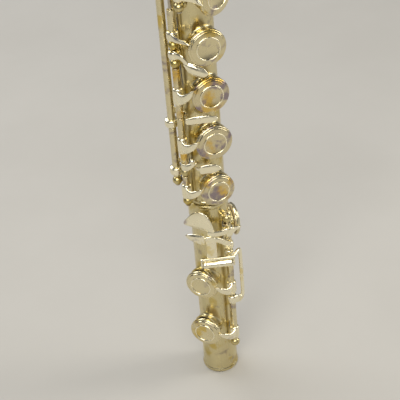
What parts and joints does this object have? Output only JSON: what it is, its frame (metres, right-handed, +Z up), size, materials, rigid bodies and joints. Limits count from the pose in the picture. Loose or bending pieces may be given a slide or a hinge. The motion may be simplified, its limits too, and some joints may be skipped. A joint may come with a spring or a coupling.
{
  "type": "concert flute",
  "caption": "Three-piece side-blown flute with closed-hole keys on hinged rods, offset G keys, an adjustable head stopper and a foot with a roller key.",
  "frame": {"origin": "on the tube's axis at the foot's open end, where the bore sits on a stand's peg", "axes": "+Z runs up the tube to the crown; -Y is the side that the body's finger keys face; +X is to the right of the keys with the crown up"},
  "size_m": [0.0375, 0.0403, 0.676],
  "materials": {
    "tube_silver": "old silver plate, warm and slightly tarnished, polished",
    "key_silver": "bright silver plate, polished, with yellow tarnish in the corners",
    "rib_silver": "silver plate with yellow tarnish",
    "steel": "blued and dulled steel",
    "pad_skin": "felt pad under a thin cream skin",
    "cork": "natural cork"
  },
  "bodies": {
    "foot": {"foot_tube": "tube_silver", "foot_lower_rib": "rib_silver", "foot_upper_post": "rib_silver", "foot_steel": "steel"},
    "body": {"body_tube": "tube_silver", "barrel": "tube_silver", "lower_rib": "rib_silver", "middle_rib": "rib_silver", "upper_rib": "rib_silver", "g_rib": "rib_silver", "back_rib": "rib_silver", "trill_rib": "rib_silver", "right_hand_steel": "steel", "g_steel": "steel", "back_steel": "steel"},
    "head": {"head_tube": "tube_silver", "lip_plate": "tube_silver", "embouchure_riser": "tube_silver"},
    "crown": {"crown": "tube_silver"},
    "stopper": {"stopper_screw": "steel", "stopper_cork": "cork", "stopper_nut": "steel"},
    "d": {"d_key": "key_silver", "d_pad": "pad_skin"},
    "e": {"e_key": "key_silver", "e_pad": "pad_skin"},
    "f": {"f_key": "key_silver", "f_pad": "pad_skin"},
    "f_sharp": {"f_sharp_key": "key_silver", "f_sharp_pad": "pad_skin"},
    "a": {"a_key": "key_silver", "a_pad": "pad_skin"},
    "a_sharp": {"a_sharp_key": "key_silver", "a_sharp_pad": "pad_skin", "b_flat_lever": "key_silver", "left_hand_steel": "steel"},
    "c": {"c_key": "key_silver", "c_sharp_pad": "pad_skin"},
    "g": {"g_key": "key_silver", "g_lower_pad": "pad_skin", "g_upper_pad": "pad_skin"},
    "g_sharp": {"g_sharp_key": "key_silver", "g_sharp_pad": "pad_skin"},
    "b_thumb": {"b_thumb_key": "key_silver", "thumb_pad": "pad_skin"},
    "b_flat_thumb": {"b_flat_thumb_key": "key_silver"},
    "d_trill": {"d_trill_key": "key_silver", "d_trill_pad": "pad_skin"},
    "d_sharp_trill": {"d_sharp_trill_key": "key_silver", "d_sharp_trill_touch": "key_silver", "d_sharp_trill_pad": "pad_skin", "trill_steel": "steel"},
    "foot_d_sharp": {"d_sharp_foot_key": "key_silver", "d_sharp_foot_pad": "pad_skin"},
    "foot_c_sharp": {"c_sharp_foot_key": "key_silver", "c_sharp_foot_pad": "pad_skin"},
    "foot_c": {"c_foot_key": "key_silver", "c_foot_pad": "pad_skin", "roller_pin": "steel"},
    "roller": {"c_roller": "key_silver"}
  },
  "joints": [
    {"name": "foot_turn", "type": "hinge", "parent": "foot", "child": "body", "pos_m": [0, 0, 0.123], "axis": [0, 0, 1], "range_deg": [-30, 30]},
    {"name": "head_tuning_slide", "type": "slide", "parent": "body", "child": "head", "axis": [0, 0, 1], "range_m": [0, 0.015]},
    {"name": "crown_turn", "type": "hinge", "parent": "head", "child": "crown", "pos_m": [0, 0, 0.67], "axis": [0, 0, 1], "range_deg": [-720, 720]},
    {"name": "stopper_slide", "type": "slide", "parent": "head", "child": "stopper", "axis": [0, 0, 1], "range_m": [-0.002, 0.002]},
    {"name": "d_key_hinge", "type": "hinge", "parent": "body", "child": "d", "pos_m": [-0.01342, -0.00322, 0.133], "axis": [0, 0, 1], "range_deg": [0, 9.5], "stiffness_Nm_per_rad": 0.01, "springref_deg": -25.78},
    {"name": "e_key_hinge", "type": "hinge", "parent": "body", "child": "e", "pos_m": [-0.01342, -0.00322, 0.162], "axis": [0, 0, 1], "range_deg": [0, 9.5], "stiffness_Nm_per_rad": 0.01, "springref_deg": -25.78},
    {"name": "f_key_hinge", "type": "hinge", "parent": "body", "child": "f", "pos_m": [-0.01342, -0.00322, 0.191], "axis": [0, 0, 1], "range_deg": [0, 9.5], "stiffness_Nm_per_rad": 0.01, "springref_deg": -25.78},
    {"name": "f_sharp_key_hinge", "type": "hinge", "parent": "body", "child": "f_sharp", "pos_m": [-0.01342, -0.00322, 0.2242], "axis": [0, 0, 1], "range_deg": [0, 9.5], "stiffness_Nm_per_rad": 0.01, "springref_deg": -25.78},
    {"name": "a_key_hinge", "type": "hinge", "parent": "body", "child": "a", "pos_m": [-0.01342, -0.00322, 0.288], "axis": [0, 0, 1], "range_deg": [0, 9.5], "stiffness_Nm_per_rad": 0.01, "springref_deg": -25.78},
    {"name": "a_sharp_key_hinge", "type": "hinge", "parent": "body", "child": "a_sharp", "pos_m": [-0.01342, -0.00322, 0.309], "axis": [0, 0, 1], "range_deg": [0, 9.5], "stiffness_Nm_per_rad": 0.01, "springref_deg": -25.78},
    {"name": "c_key_hinge", "type": "hinge", "parent": "body", "child": "c", "pos_m": [-0.01342, -0.00322, 0.331], "axis": [0, 0, 1], "range_deg": [0, 9.5], "stiffness_Nm_per_rad": 0.01, "springref_deg": -25.78},
    {"name": "g_key_hinge", "type": "hinge", "parent": "body", "child": "g", "pos_m": [-0.01124, -0.00835, 0.256], "axis": [0, 0, 1], "range_deg": [0, 9.5], "stiffness_Nm_per_rad": 0.01, "springref_deg": -25.78},
    {"name": "g_sharp_key_hinge", "type": "hinge", "parent": "body", "child": "g_sharp", "pos_m": [0.01358, 0.00339, 0.247], "axis": [0, 0, -1], "range_deg": [0, 10], "stiffness_Nm_per_rad": 0.01, "springref_deg": -25.78},
    {"name": "b_thumb_key_hinge", "type": "hinge", "parent": "body", "child": "b_thumb", "pos_m": [0.01358, 0.00339, 0.329], "axis": [0, 0, 1], "range_deg": [0, 9.5], "stiffness_Nm_per_rad": 0.01, "springref_deg": -25.78},
    {"name": "b_flat_thumb_key_hinge", "type": "hinge", "parent": "body", "child": "b_flat_thumb", "pos_m": [0.01358, 0.00339, 0.298], "axis": [0, 0, 1], "range_deg": [0, 9.5], "stiffness_Nm_per_rad": 0.01, "springref_deg": -25.78},
    {"name": "d_trill_key_hinge", "type": "hinge", "parent": "body", "child": "d_trill", "pos_m": [-0.01455, 0.00473, 0.179], "axis": [0, 0, 1], "range_deg": [0, 6.5], "stiffness_Nm_per_rad": 0.01, "springref_deg": -25.78},
    {"name": "d_sharp_trill_key_hinge", "type": "hinge", "parent": "body", "child": "d_sharp_trill", "pos_m": [-0.01455, 0.00473, 0.15], "axis": [0, 0, 1], "range_deg": [0, 6.5], "stiffness_Nm_per_rad": 0.01, "springref_deg": -25.78},
    {"name": "foot_d_sharp_hinge", "type": "hinge", "parent": "foot", "child": "foot_d_sharp", "pos_m": [0.00357, -0.01333, 0.106], "axis": [0, 0, -1], "range_deg": [0, 10], "stiffness_Nm_per_rad": 0.01, "springref_deg": -25.78},
    {"name": "foot_c_sharp_hinge", "type": "hinge", "parent": "foot", "child": "foot_c_sharp", "pos_m": [0.00357, -0.01333, 0.08], "axis": [0, 0, -1], "range_deg": [0, 9.5], "stiffness_Nm_per_rad": 0.01, "springref_deg": -25.78},
    {"name": "foot_c_hinge", "type": "hinge", "parent": "foot", "child": "foot_c", "pos_m": [0.00357, -0.01333, 0.045], "axis": [0, 0, -1], "range_deg": [0, 9.5], "stiffness_Nm_per_rad": 0.01, "springref_deg": -25.78},
    {"name": "roller_spin", "type": "hinge", "parent": "foot_c", "child": "roller", "pos_m": [-0.00484, -0.0153, 0.0876], "axis": [0.9063, -0.4226, 0], "continuous": true}
  ],
  "couplings": [
    {"joint": "stopper_slide", "follows": "crown_turn", "m_per_rad": 0.00015915},
    {"joint": "f_sharp_key_hinge", "follows": "f_key_hinge", "ratio": 1},
    {"joint": "a_sharp_key_hinge", "follows": "a_key_hinge", "ratio": 1}
  ]
}
